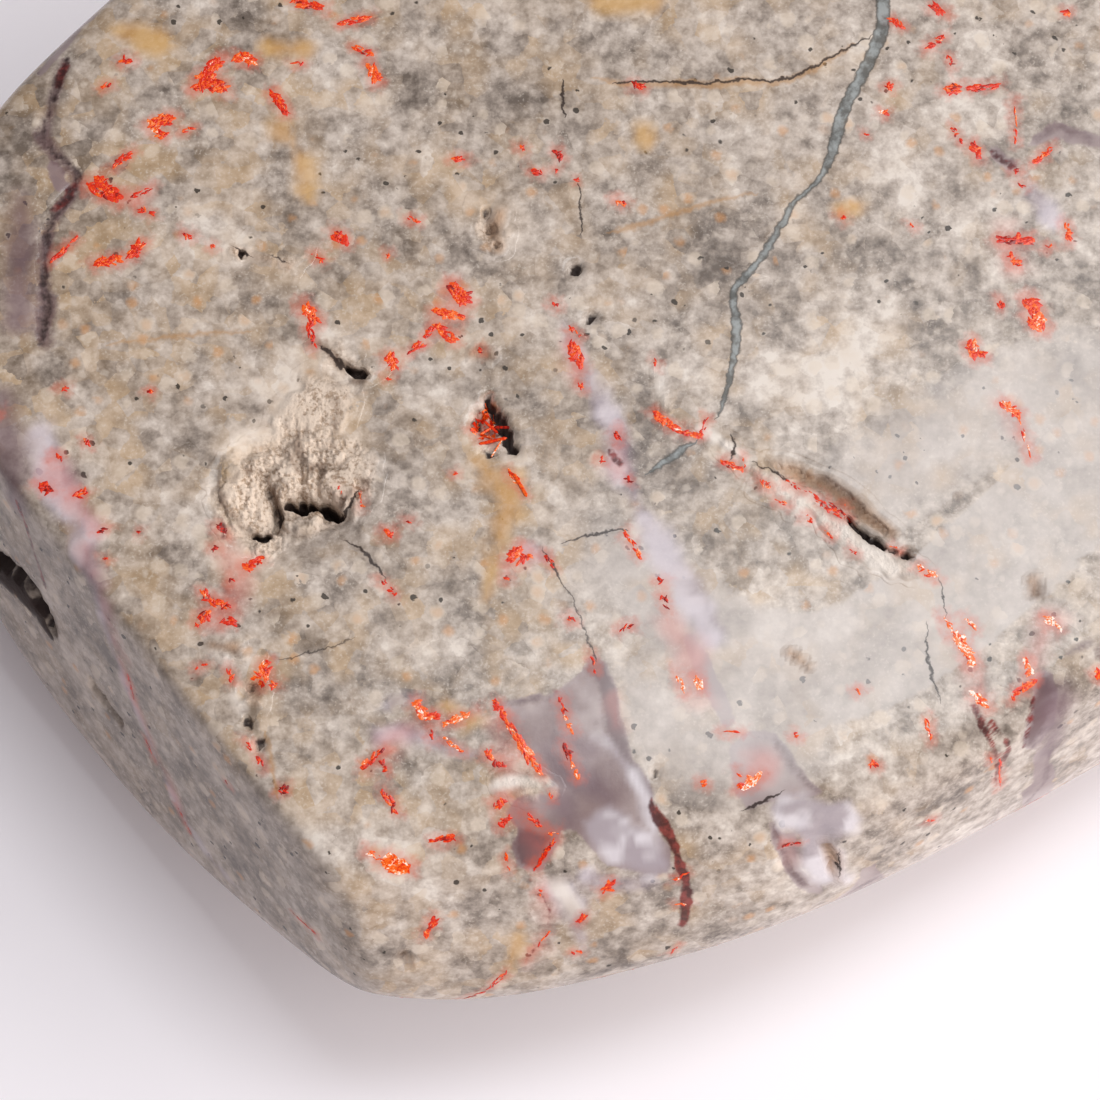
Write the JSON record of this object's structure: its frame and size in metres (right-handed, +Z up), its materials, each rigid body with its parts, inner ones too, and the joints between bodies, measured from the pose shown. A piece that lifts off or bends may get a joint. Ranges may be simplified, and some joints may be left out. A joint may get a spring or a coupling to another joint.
{
  "type": "polished chalcedony freeform",
  "caption": "Polished freeform of grey and cream breccia with red crystals, chalcedony veins and small vugs; a display stone that rests on a small flat spot.",
  "frame": {"origin": "centre of the bounding box on the plane that the stone rests on", "axes": "+Z up, out of the nearly flat polished top; +X to the right and +Y to the back of the pictured view"},
  "size_m": [0.126, 0.115, 0.0391],
  "materials": {
    "polished_rock": "polished grey and cream breccia with red crystals and pale purple chalcedony"
  },
  "bodies": {
    "root": {"stone": "polished_rock"}
  },
  "joints": []
}
